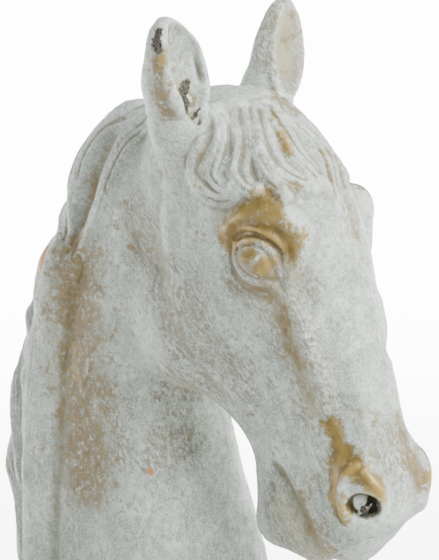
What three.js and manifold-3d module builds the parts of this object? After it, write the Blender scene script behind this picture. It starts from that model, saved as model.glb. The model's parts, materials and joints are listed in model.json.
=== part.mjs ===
// A giant garden chess knight: a hollow cast horse's head and neck with two separately cast ears,
// clamped by a toggle bar and tie rod to a hollow turned plinth that holds sand as ballast.
// Millimetres, +Z up. The origin is the centre of the plinth's rubber pad, on the ground.
// The horse faces +X, and +Y is its left.
import * as THREE from 'three';
import { LoftGeometry } from 'three/addons/geometries/LoftGeometry.js';
import { mergeVertices } from 'three/addons/utils/BufferGeometryUtils.js';
import Module from 'manifold-3d';

const wasm = await Module();
wasm.setup();

// ---- driving dimensions ----
const GLUE = 0.3; // joint line between pieces that are cemented or cut to fit each other
const WALL = 11; // wall of the head casting
const PLINTH_R = 170; // widest radius of the plinth
const PLINTH_TOP = 105; // height of the deck that the neck stands on
const PLINTH_WALL = 13;
const DECK = 15; // thickness of the plinth's deck
const PAD = { r: 160, t: 4 };
const PLATE = { r: 143, t: 6 };
const GASKET_T = 3;
const FLANGE_T = 14; // inward floor at the foot of the neck
const ROD_R = 6;
const SCREWS = 6;
const SCREW_CIRCLE_R = 126;
const SCREW = { head: 6.5, shank: 3, length: 24 };
const INSERT = { r: 5.5, length: 22 };
const BUNG = { z: 60, bore: 11, clearance: 0.1 };
const SAND_TOP = 42;

const NECK_FOOT = PLINTH_TOP + GASKET_T;
const DECK_UNDER = PLINTH_TOP - DECK;

// ---- the horse, as pairs of points on its outline in the XZ plane ----
// Each station joins a point on the back line to one on the front line, and gives the half width
// there. pear above 0 makes the front of the section wider than the back; square above 2 makes
// it boxier than an ellipse.
const NECK = [
  { back: [-130, NECK_FOOT], front: [106, NECK_FOOT], half: 80, pear: 0.16, square: 2.2 },
  { back: [-136, 160], front: [102, 160], half: 78, pear: 0.16, square: 2.2 },
  { back: [-154, 215], front: [85, 215], half: 75, pear: 0.16, square: 2.2 },
  { back: [-156, 275], front: [66, 272], half: 70, pear: 0.15, square: 2.2 },
  { back: [-141, 340], front: [53, 320], half: 64, pear: 0.15, square: 2.1 },
  { back: [-118, 405], front: [52, 356], half: 60, pear: 0.14, square: 2.1 },
  { back: [-98, 465], front: [60, 385], half: 57, pear: 0.12, square: 2.1 },
  { back: [-77, 520], front: [70, 410], half: 55, pear: 0.1, square: 2 },
  { back: [-50, 563], front: [84, 430], half: 54, pear: 0.05, square: 2 },
  { back: [-8, 590], front: [100, 450], half: 52, pear: 0, square: 2 },
  { back: [44, 604], front: [118, 470], half: 44, pear: 0, square: 2 },
];
const HEAD = [
  { back: [28, 609], front: [66, 622], half: 15, pear: 0, square: 2 },
  { back: [12, 600], front: [82, 621], half: 34, pear: 0, square: 2 },
  { back: [-4, 566], front: [122, 611], half: 56, pear: 0, square: 2.1 },
  { back: [-8, 515], front: [166, 585], half: 66, pear: 0, square: 2.2 },
  { back: [-2, 462], front: [202, 546], half: 69, pear: 0.02, square: 2.2 },
  { back: [8, 420], front: [222, 502], half: 70, pear: 0, square: 2.2 },
  { back: [24, 382], front: [236, 455], half: 66, pear: -0.04, square: 2.2 },
  { back: [52, 350], front: [249, 408], half: 57, pear: -0.08, square: 2.2 },
  { back: [88, 328], front: [263, 362], half: 49, pear: -0.05, square: 2.2 },
  { back: [113, 307], front: [275, 322], half: 45, pear: 0.02, square: 2.2 },
  { back: [120, 280], front: [285, 286], half: 46, pear: 0.06, square: 2.2 },
  { back: [118, 252], front: [282, 254], half: 44, pear: 0.06, square: 2.2 },
  { back: [130, 228], front: [268, 230], half: 38, pear: 0.06, square: 2.2 },
  { back: [146, 214], front: [256, 216], half: 30, pear: 0.06, square: 2 },
  { back: [166, 208], front: [234, 210], half: 15, pear: 0, square: 2 },
];

// Rounded masses added to the lofted head, mirrored on both sides where y is not 0.
const MASSES = [
  { name: 'cheek', at: [64, 36, 414], radii: [66, 36, 72], tilt: 10 },
  { name: 'brow', at: [170, 48, 512], radii: [32, 20, 20], tilt: 24 },
  { name: 'eyeball', at: [166, 59, 486], radii: [19, 17, 18], tilt: 0 },
  { name: 'cheekbone', at: [202, 38, 432], radii: [18, 19, 52], tilt: 18 },
  { name: 'nostril', at: [258, 31, 296], radii: [24, 16, 40], tilt: 18 },
  { name: 'upper_lip', at: [238, 0, 252], radii: [36, 38, 33], tilt: 0 },
  { name: 'chin', at: [151, 0, 240], radii: [33, 34, 34], tilt: 0 },
];

// The mane's locks, as points in the XZ plane near the crest. Each lies from its root on one side
// of the crest to a tip further down.
const MANE = [
  { from: [-10, 590], to: [-70, 528], r: 12 },
  { from: [-46, 564], to: [-97, 474], r: 12 },
  { from: [-78, 518], to: [-133, 400], r: 14 },
  { from: [-102, 468], to: [-150, 334], r: 14 },
  { from: [-126, 404], to: [-170, 262], r: 15 },
  { from: [-146, 340], to: [-166, 190], r: 16 },
  { from: [-158, 268], to: [-144, 136], r: 17 },
];
// Where each lock's ends and middle lie across the neck.
// The left side's locks slip down by a share of their length, so that the two sides don't pair up.
const MANE_Y = { from: 3, middle: 19, to: 31, slip: 0.12 };

const EAR = { seat: [74, 62, 602], lean: 10, back: 3, turn: 12, height: 82, width: 28, depth: 27, wall: 9, belly: 4 };
const LEFT_EAR_IN = 5; // how much nearer the middle the left ear sits, by hand modelling
const EAR_FOOT = 8; // how far the ear's seat stands above its pivot on the head
const DOWEL = { r: 4, length: 28 };

// ---- shared helpers ----
function toSolid(geometry) {
  const bare = geometry.index ? geometry.toNonIndexed() : geometry.clone();
  bare.deleteAttribute('normal');
  bare.deleteAttribute('uv');
  const merged = mergeVertices(bare, 1e-4);
  const corners = merged.index.array;
  const triVerts = [];
  for (let i = 0; i < corners.length; i += 3) {
    const [a, b, c] = corners.slice(i, i + 3);
    if (a !== b && b !== c && c !== a) triVerts.push(a, b, c);
  }
  return new wasm.Manifold(new wasm.Mesh({
    numProp: 3,
    vertProperties: merged.attributes.position.array,
    triVerts: new Uint32Array(triVerts),
  }));
}

function toGeometry(solid) {
  const { vertProperties, triVerts } = solid.getMesh();
  const geometry = new THREE.BufferGeometry();
  geometry.setAttribute('position', new THREE.BufferAttribute(vertProperties, 3));
  geometry.setIndex(new THREE.BufferAttribute(triVerts, 1));
  geometry.computeVertexNormals();
  return geometry;
}

// A solid of revolution about Z, from [radius, z] points.
function turned(points, segments = 48) {
  const profile = points.map(([r, z]) => new THREE.Vector2(r, z));
  return new THREE.LatheGeometry(profile, segments).rotateX(Math.PI / 2);
}

function ring(inner, outer, z0, z1, segments = 48) {
  return turned([[inner, z0], [outer, z0], [outer, z1], [inner, z1], [inner, z0]], segments);
}

// A cylinder along Z from z0 to z1, moved to x, y.
function post(r, z0, z1, x = 0, y = 0, segments = 16) {
  return new THREE.CylinderGeometry(r, r, z1 - z0, segments)
    .rotateX(Math.PI / 2)
    .translate(x, y, (z0 + z1) / 2);
}

function ellipsoid({ at, radii, tilt }, side = 1) {
  return new THREE.SphereGeometry(1, 14, 10)
    .rotateX(Math.PI / 2)
    .scale(...radii)
    .rotateY(THREE.MathUtils.degToRad(-tilt))
    .translate(at[0], at[1] * side, at[2]);
}

const signedPower = (value, power) => Math.sign(value) * Math.abs(value) ** power;

// One closed cross section between a back and a front point, shrunk by inset.
function section({ back, front, half, pear, square }, around, inset = 0) {
  const centre = [(back[0] + front[0]) / 2, (back[1] + front[1]) / 2];
  const axis = [(front[0] - back[0]) / 2, (front[1] - back[1]) / 2];
  const keep = 1 - inset / Math.hypot(...axis);
  return Array.from({ length: around }, (_, i) => {
    const angle = (i / around) * 2 * Math.PI;
    const along = signedPower(Math.cos(angle), 2 / square) * keep;
    const across = signedPower(Math.sin(angle), 2 / square) * (half - inset) * (1 + pear * Math.cos(angle));
    return new THREE.Vector3(centre[0] + axis[0] * along, across, centre[1] + axis[1] * along);
  });
}

// Smooth stations between the given ones, from first to last as shares of the whole run.
function smoothStations(stations, count, first = 0, last = 1) {
  const spline = (pick) => new THREE.CatmullRomCurve3(stations.map((s) => new THREE.Vector3(...pick(s))));
  const back = spline((s) => [s.back[0], s.back[1], 0]);
  const front = spline((s) => [s.front[0], s.front[1], 0]);
  const shape = spline((s) => [s.half, s.pear * 100, s.square * 10]);
  return Array.from({ length: count }, (_, i) => {
    const t = first + (last - first) * (i / (count - 1));
    const b = back.getPoint(t);
    const f = front.getPoint(t);
    const w = shape.getPoint(t);
    return { back: [b.x, b.y], front: [f.x, f.y], half: w.x, pear: w.y / 100, square: w.z / 10 };
  });
}

// Sections run anticlockwise seen from above, so a loft that runs downwards takes them reversed.
function loft(stations, around, inset = 0) {
  const sections = stations.map((s) => section(s, around, inset));
  const down = stations.at(-1).front[1] < stations[0].front[1];
  if (down) sections.forEach((ring) => ring.reverse());
  return new LoftGeometry(sections, { capStart: true, capEnd: true });
}

// A tapering lock of hair: a tube of round sections along a curve, fat in the middle.
function lock(points, radius, sides = 6, steps = 6) {
  const curve = new THREE.CatmullRomCurve3(points.map((p) => new THREE.Vector3(...p)));
  const frames = curve.computeFrenetFrames(steps, false);
  const sections = Array.from({ length: steps + 1 }, (_, i) => {
    const r = radius * (0.35 + 0.65 * Math.sin((Math.PI * (i + 0.6)) / (steps + 1.2)));
    const centre = curve.getPointAt(i / steps);
    return Array.from({ length: sides }, (_, j) => {
      const angle = (j / sides) * 2 * Math.PI;
      return centre.clone()
        .addScaledVector(frames.normals[i], Math.cos(angle) * r)
        .addScaledVector(frames.binormals[i], Math.sin(angle) * r);
    });
  });
  return new LoftGeometry(sections, { capStart: true, capEnd: true });
}

function unite(geometries) {
  return geometries.map(toSolid).reduce((all, next) => all.add(next));
}

// The outer skin alone, which fills any small space trapped between merged shapes.
const outerSkin = (solid) => solid.decompose().sort((a, b) => b.volume() - a.volume())[0];

// ---- the ears ----
// Carries a shape drawn about the Z axis at the origin, open towards +X, to an ear's place.
function toEarPlace(geometry, side) {
  const [x, y, z] = EAR.seat;
  return geometry
    .rotateZ(THREE.MathUtils.degToRad(-EAR.turn * side))
    .rotateY(THREE.MathUtils.degToRad(-EAR.back))
    .rotateX(THREE.MathUtils.degToRad(-EAR.lean * side))
    .translate(x, y * side - (side > 0 ? LEFT_EAR_IN : 0), z);
}

// The flat-topped root that an ear stands on, leaning in to bury its lower end in the head.
function earRoot(side) {
  const disc = (radius, across, z) => Array.from({ length: 20 }, (_, i) => {
    const angle = (i / 20) * 2 * Math.PI;
    return new THREE.Vector3(Math.cos(angle) * radius, Math.sin(angle) * radius + across, z);
  });
  const sections = [
    disc(EAR.width * 1.2, -30 * side, EAR_FOOT - 56),
    disc(EAR.width * 1.1, -18 * side, EAR_FOOT - 28),
    disc(EAR.width * 0.93, -4 * side, EAR_FOOT - 6),
    disc(EAR.width * 0.86, 0, EAR_FOOT),
  ];
  return toEarPlace(new LoftGeometry(sections, { capStart: true, capEnd: true }), side);
}

// A leaf of ellipses that swells and then narrows to a rounded tip.
function leaf(z0, z1, width, depth, shift) {
  const rows = 9;
  const sections = Array.from({ length: rows }, (_, i) => {
    const t = i / (rows - 1);
    const swell = 0.85 + 0.34 * Math.sin(Math.PI * Math.min(1, t * 1.35)) * (1 - t * 0.75);
    const size = swell * Math.sqrt(Math.max(0.03, 1 - t ** 3.2));
    return Array.from({ length: 16 }, (__, j) => {
      const angle = (j / 16) * 2 * Math.PI;
      return new THREE.Vector3(
        Math.cos(angle) * depth * size + shift + EAR.belly * Math.sin(Math.PI * t),
        Math.sin(angle) * width * size,
        z0 + (z1 - z0) * t,
      );
    });
  });
  return new LoftGeometry(sections, { capStart: true, capEnd: true });
}

function ear(side) {
  const foot = EAR_FOOT + GLUE;
  const outer = leaf(foot, foot + EAR.height, EAR.width, EAR.depth, 0);
  const reach = EAR.depth * 1.6;
  const scoop = leaf(foot + 15, foot + EAR.height - 5, EAR.width - EAR.wall * 0.6, reach, reach - EAR.depth + EAR.wall);
  const cup = toSolid(outer).subtract(toSolid(scoop)).subtract(toSolid(dowelHole()));
  return toEarPlace(toGeometry(cup), side);
}

function pin(radius, length) {
  return post(radius, EAR_FOOT - length / 2, EAR_FOOT + length / 2, -EAR.depth * 0.3, 0, 16);
}

const dowelHole = () => pin(DOWEL.r + 0.2, DOWEL.length + 0.4);
const earDowel = (side) => toEarPlace(pin(DOWEL.r, DOWEL.length), side);

// ---- the head casting ----
function maneLocks() {
  return MANE.flatMap(({ from, to, r }, i) => [1, -1].map((side) => {
    const slip = side > 0 ? MANE_Y.slip : 0;
    const along = [(to[0] - from[0]) * slip, (to[1] - from[1]) * slip];
    const middle = [(from[0] + to[0]) / 2, (from[1] + to[1]) / 2];
    const sway = i % 2 ? 5 : -3;
    return lock([
      [from[0] + along[0], MANE_Y.from * side, from[1] + along[1]],
      [middle[0] + along[0] - sway, (MANE_Y.middle + sway) * side, middle[1] + along[1]],
      [to[0] + along[0], MANE_Y.to * side, to[1] + along[1]],
    ], r);
  }));
}

function headCasting() {
  const neck = loft(smoothStations(NECK, 14), 24);
  const skull = loft(smoothStations(HEAD, 17), 22);
  const masses = MASSES.flatMap((m) => (m.at[1] ? [ellipsoid(m, 1), ellipsoid(m, -1)] : [ellipsoid(m)]));
  const earRoots = [earRoot(1), earRoot(-1)];
  let solid = outerSkin(unite([neck, skull, ...masses, ...earRoots, ...maneLocks()]));

  const floor = new THREE.BoxGeometry(600, 400, 100).translate(0, 0, NECK_FOOT - 50);
  solid = solid.subtract(toSolid(floor));

  const neckHollow = loft(smoothStations(NECK, 8), 14, WALL);
  const headHollow = loft(smoothStations(HEAD, 6, 0.2, 0.64), 14, WALL + 4);
  const flange = new THREE.BoxGeometry(400, 300, FLANGE_T + 50).translate(0, 0, NECK_FOOT + FLANGE_T / 2 - 25);
  const hollow = unite([neckHollow, headHollow]).subtract(toSolid(flange));
  const hole = post(1, NECK_FOOT - 1, NECK_FOOT + FLANGE_T + 1, 0, 0, 32).scale(FOOT_HOLE.x, FOOT_HOLE.y, 1);
  solid = solid.subtract(hollow).subtract(toSolid(hole));
  for (const side of [1, -1]) {
    solid = solid.subtract(toSolid(toEarPlace(dowelHole(), side)));
  }
  return toGeometry(solid);
}

// ---- the clamp between neck and plinth ----
const FOOT_HOLE = { x: 68, y: 36 };
const TOGGLE = { length: 116, width: 30, t: 8 };
const NUT = { flats: 18, t: 10 };
const WASHER = { r: 12, t: 2.5 };
const TOGGLE_BASE = NECK_FOOT + FLANGE_T;
const TOGGLE_TOP = TOGGLE_BASE + TOGGLE.t;
const ROD_TOP = TOGGLE_TOP + WASHER.t + NUT.t + 5;
const ROD_BASE = DECK_UNDER - WASHER.t - NUT.t - 5;
const ROD_PLAY = 0.3; // radial play of the nuts, bar, washers and deck round the rod

function neckGasket() {
  const outline = section(NECK[0], 40, 3).map((p) => new THREE.Vector2(p.x, p.y));
  const shape = new THREE.Shape(outline);
  const hole = new THREE.Path();
  hole.absellipse(0, 0, FOOT_HOLE.x, FOOT_HOLE.y, 0, 2 * Math.PI);
  shape.holes.push(hole);
  return new THREE.ExtrudeGeometry(shape, { depth: GASKET_T, bevelEnabled: false, curveSegments: 32 })
    .translate(0, 0, PLINTH_TOP);
}

function toggleBar() {
  const bar = new THREE.BoxGeometry(TOGGLE.width, TOGGLE.length, TOGGLE.t)
    .translate(0, 0, TOGGLE_BASE + TOGGLE.t / 2);
  return toGeometry(toSolid(bar).subtract(toSolid(post(ROD_R + ROD_PLAY, 0, 200))));
}

function nut(z0) {
  const across = NUT.flats / Math.sqrt(3);
  const hex = post(across, z0, z0 + NUT.t, 0, 0, 6);
  return toGeometry(toSolid(hex).subtract(toSolid(post(ROD_R + ROD_PLAY, 0, 200))));
}

const washer = (z0) => ring(ROD_R + ROD_PLAY, WASHER.r, z0, z0 + WASHER.t, 32);

// ---- the plinth ----
const BUNG_FLAT_X = -151; // face of the flat that the filler sleeve's flange sits on
const SLEEVE = { flange: 19, flangeT: 3, r: 15, length: 20 };

function plinthCasting() {
  const outer = [
    [PLINTH_R - 8, PAD.t], [PLINTH_R - 2, 9], [PLINTH_R, 20], [PLINTH_R - 2, 31], [PLINTH_R - 8, 36],
    [PLINTH_R - 12, 37], [PLINTH_R - 13, 41], [PLINTH_R - 18, 48], [PLINTH_R - 20, 61],
    [PLINTH_R - 18, 74], [PLINTH_R - 13, 80], [PLINTH_R - 8, 83], [PLINTH_R - 6, 89],
    [PLINTH_R - 8, 95], [PLINTH_R - 14, 97], [PLINTH_R - 19, PLINTH_TOP], [0, PLINTH_TOP],
  ];
  const inner = [
    [0, DECK_UNDER], [PLINTH_R - 32, DECK_UNDER], [PLINTH_R - 34, 62],
    [PLINTH_R - 31, 44], [PLINTH_R - 26, 34], [PLINTH_R - 26, PAD.t],
  ];
  let solid = toSolid(turned([...inner, ...outer, inner[0]], 60));
  for (let i = 0; i < SCREWS; i += 1) {
    const [x, y] = screwPlace(i);
    const boss = post(13, PAD.t + PLATE.t, 48, x, y, 14);
    solid = solid.add(toSolid(boss)).subtract(toSolid(post(INSERT.r + 0.2, 0, PAD.t + PLATE.t + INSERT.length + 2, x, y, 14)));
  }
  const rodHole = post(ROD_R + ROD_PLAY, 0, 200);
  const fillerBoss = alongX(new THREE.CylinderGeometry(22, 22, 30, 24), BUNG_FLAT_X + 22);
  const band = toSolid(turned([[0, 38], [PLINTH_R - 22, 38], [PLINTH_R - 22, 82], [0, 82], [0, 38]], 60));
  solid = solid.add(toSolid(fillerBoss).intersect(band));
  const flat = alongX(new THREE.CylinderGeometry(SLEEVE.flange + 1, SLEEVE.flange + 1, 30, 32), BUNG_FLAT_X - 15);
  const bore = alongX(new THREE.CylinderGeometry(SLEEVE.r + 0.2, SLEEVE.r + 0.2, 80, 32), BUNG_FLAT_X + 20);
  return toGeometry(solid.subtract(toSolid(rodHole)).subtract(toSolid(flat)).subtract(toSolid(bore)));
}

function screwPlace(i) {
  const angle = ((i + 0.5) / SCREWS) * 2 * Math.PI;
  return [Math.cos(angle) * SCREW_CIRCLE_R, Math.sin(angle) * SCREW_CIRCLE_R];
}

// Lays a shape made about the Y axis along X instead, with its centre at x and the bung's height.
function alongX(geometry, x) {
  return geometry.rotateZ(Math.PI / 2).translate(x, 0, BUNG.z);
}

// A solid of revolution about the bung's axis, from [radius, x] points.
function turnedAboutBung(points, segments = 32) {
  const profile = points.map(([r, x]) => new THREE.Vector2(r, -x));
  return new THREE.LatheGeometry(profile, segments).rotateZ(Math.PI / 2).translate(0, 0, BUNG.z);
}

function fillerSleeve() {
  const face = BUNG_FLAT_X;
  return turnedAboutBung([
    [BUNG.bore, face - SLEEVE.flangeT], [BUNG.bore, face + SLEEVE.length], [SLEEVE.r, face + SLEEVE.length],
    [SLEEVE.r, face], [SLEEVE.flange, face], [SLEEVE.flange, face - SLEEVE.flangeT],
    [BUNG.bore, face - SLEEVE.flangeT],
  ]);
}

function fillerBung() {
  const face = BUNG_FLAT_X - SLEEVE.flangeT;
  const fit = BUNG.bore - BUNG.clearance;
  const body = turnedAboutBung([
    [0, face + 20], [fit - 2, face + 20], [fit, face + 16], [fit, face], [16, face], [16, face - 3], [14, face - 5],
    [0, face - 5],
  ]);
  const tab = new THREE.BoxGeometry(12, 5, 22).translate(face - 10, 0, BUNG.z);
  return toGeometry(toSolid(body).add(toSolid(tab)));
}

function basePlate() {
  let solid = toSolid(post(PLATE.r, PAD.t, PAD.t + PLATE.t, 0, 0, 48));
  for (let i = 0; i < SCREWS; i += 1) {
    const [x, y] = screwPlace(i);
    solid = solid.subtract(toSolid(baseScrew(i, 0.3, 1)));
    solid = solid.subtract(toSolid(post(SCREW.shank + 0.3, 0, 20, x, y, 14)));
  }
  return toGeometry(solid);
}

// A countersunk screw, head down and flush with the plate. grow widens it and below lengthens its
// head, which makes the cutter for its seat.
function baseScrew(i, grow = 0, below = 0) {
  const [x, y] = screwPlace(i);
  const z = PAD.t;
  const seat = 3.5;
  const profile = [
    [0, z - below], [SCREW.head + grow, z - below], [SCREW.head + grow, z + 0.4], [SCREW.shank + grow, z + seat],
    [SCREW.shank + grow, z + SCREW.length], [0, z + SCREW.length],
  ];
  return turned(profile, 14).translate(x, y, 0);
}

function threadedInsert(i) {
  const [x, y] = screwPlace(i);
  const z = PAD.t + PLATE.t;
  return ring(SCREW.shank + 0.3, INSERT.r, z, z + INSERT.length, 14).translate(x, y, 0);
}

function sandBallast() {
  const base = PAD.t + PLATE.t + 0.5;
  return turned([[0, base], [SCREW_CIRCLE_R - 15, base], [SCREW_CIRCLE_R - 15, SAND_TOP - 4], [0, SAND_TOP]], 48);
}

// ---- assembly ----
const paint = (color, roughness, metalness = 0) => new THREE.MeshStandardMaterial({ color, roughness, metalness });
const whitewash = paint(0xc9ccc4, 0.75);
const steel = paint(0x8d9094, 0.4, 0.9);
const brass = paint(0xb08d4a, 0.4, 0.9);
const rubber = paint(0x2b2b2a, 0.85);
const sand = paint(0xc2ab80, 0.95);

const knight = new THREE.Group();

function add(name, geometry, material) {
  const mesh = new THREE.Mesh(geometry, material);
  mesh.name = name;
  knight.add(mesh);
}

add('head_casting', headCasting(), whitewash);
add('right_ear', ear(-1), whitewash);
add('left_ear', ear(1), whitewash);
add('right_ear_dowel', earDowel(-1), steel);
add('left_ear_dowel', earDowel(1), steel);
add('neck_gasket', neckGasket(), rubber);
add('toggle_bar', toggleBar(), steel);
add('tie_rod', post(ROD_R, ROD_BASE, ROD_TOP), steel);
add('upper_washer', washer(TOGGLE_TOP), steel);
add('upper_nut', nut(TOGGLE_TOP + WASHER.t), steel);
add('lower_washer', washer(DECK_UNDER - WASHER.t), steel);
add('lower_nut', nut(DECK_UNDER - WASHER.t - NUT.t), steel);
add('plinth_casting', plinthCasting(), whitewash);
add('filler_sleeve', fillerSleeve(), brass);
add('filler_bung', fillerBung(), rubber);
add('sand_ballast', sandBallast(), sand);
add('base_plate', basePlate(), steel);
add('base_pad', post(PAD.r, 0, PAD.t, 0, 0, 60), rubber);
for (let i = 0; i < SCREWS; i += 1) {
  add(`base_screw_${i + 1}`, baseScrew(i), steel);
  add(`threaded_insert_${i + 1}`, threadedInsert(i), brass);
}

export default knight;
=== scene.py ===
"""The looks of a giant garden chess knight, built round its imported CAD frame. Blender 4.5.

The horse's head and its ears are modelled like clay: the CAD solid gives the rough form, as signed
distances on a grid, and rolls, balls and cuts are blended into it. The plinth and all that holds the
piece together keep their CAD shapes. Everything is in the row frame. The clay works in millimetres
and its pieces are scaled to metres.
"""

import json
import math

import bmesh
import bpy
import numpy as np
import openvdb
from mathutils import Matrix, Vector, noise


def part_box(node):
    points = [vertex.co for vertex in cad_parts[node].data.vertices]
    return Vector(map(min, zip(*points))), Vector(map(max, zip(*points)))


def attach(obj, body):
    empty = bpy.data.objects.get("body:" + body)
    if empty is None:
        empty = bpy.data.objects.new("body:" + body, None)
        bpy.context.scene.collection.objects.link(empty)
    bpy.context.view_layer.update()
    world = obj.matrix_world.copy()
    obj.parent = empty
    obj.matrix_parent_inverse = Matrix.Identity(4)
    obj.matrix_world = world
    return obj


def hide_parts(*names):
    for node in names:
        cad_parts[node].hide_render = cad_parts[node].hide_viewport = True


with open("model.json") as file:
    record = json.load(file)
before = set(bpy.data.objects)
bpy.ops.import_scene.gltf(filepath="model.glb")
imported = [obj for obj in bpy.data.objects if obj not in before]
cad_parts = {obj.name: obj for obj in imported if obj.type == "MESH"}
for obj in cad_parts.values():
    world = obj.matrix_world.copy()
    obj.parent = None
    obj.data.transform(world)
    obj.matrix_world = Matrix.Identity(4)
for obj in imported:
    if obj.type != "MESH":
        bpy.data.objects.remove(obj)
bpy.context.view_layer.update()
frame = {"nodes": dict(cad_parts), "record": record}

MM = 0.001


def node_box(name):
    """A CAD node's lowest and highest corners, in millimetres."""
    return [np.array(corner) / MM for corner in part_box(name)]


FOOT_Z = node_box("head_casting")[0][2]  # the head stands on the plinth here
HEAD_CELL = 1.7  # sizes of the clay's cells
EAR_CELL = 1.0


# ---------------------------------------------------------------- clay
def smooth_min(a, b, k):
    """The smaller of a and b, rounded over where they are within k of each other."""
    h = np.clip(0.5 + 0.5 * (b - a) / k, 0.0, 1.0)
    return b + (a - b) * h - k * h * (1.0 - h)


def spline(points, per_span=5):
    """A Catmull-Rom curve through rows of numbers, such as x, y, z and radius."""
    p = np.array(points, float)
    p = np.vstack([2 * p[0] - p[1], p, 2 * p[-1] - p[-2]])
    out = []
    for i in range(1, len(p) - 2):
        for t in np.arange(per_span) / per_span:
            a, b, c, d = p[i - 1], p[i], p[i + 1], p[i + 2]
            bend = (2 * a - 5 * b + 4 * c - d) * t**2 + (3 * b - a - 3 * c + d) * t**3
            out.append(0.5 * (2 * b + (c - a) * t + bend))
    out.append(p[-2])
    return np.array(out)


def box_blur(field, reach):
    """A gaussian-like blur: three running means of 2 * reach + 1 cells along each axis."""
    if reach < 1:
        return field
    width = 2 * reach + 1
    for axis in range(3):
        for _ in range(3):
            pad = [(0, 0)] * 3
            pad[axis] = (reach + 1, reach)
            total = np.cumsum(np.pad(field, pad, mode="edge"), axis=axis, dtype=np.float64)
            n = field.shape[axis]
            head = np.take(total, range(width, width + n), axis=axis)
            tail = np.take(total, range(0, n), axis=axis)
            field = ((head - tail) / width).astype(np.float32)
    return field


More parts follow.
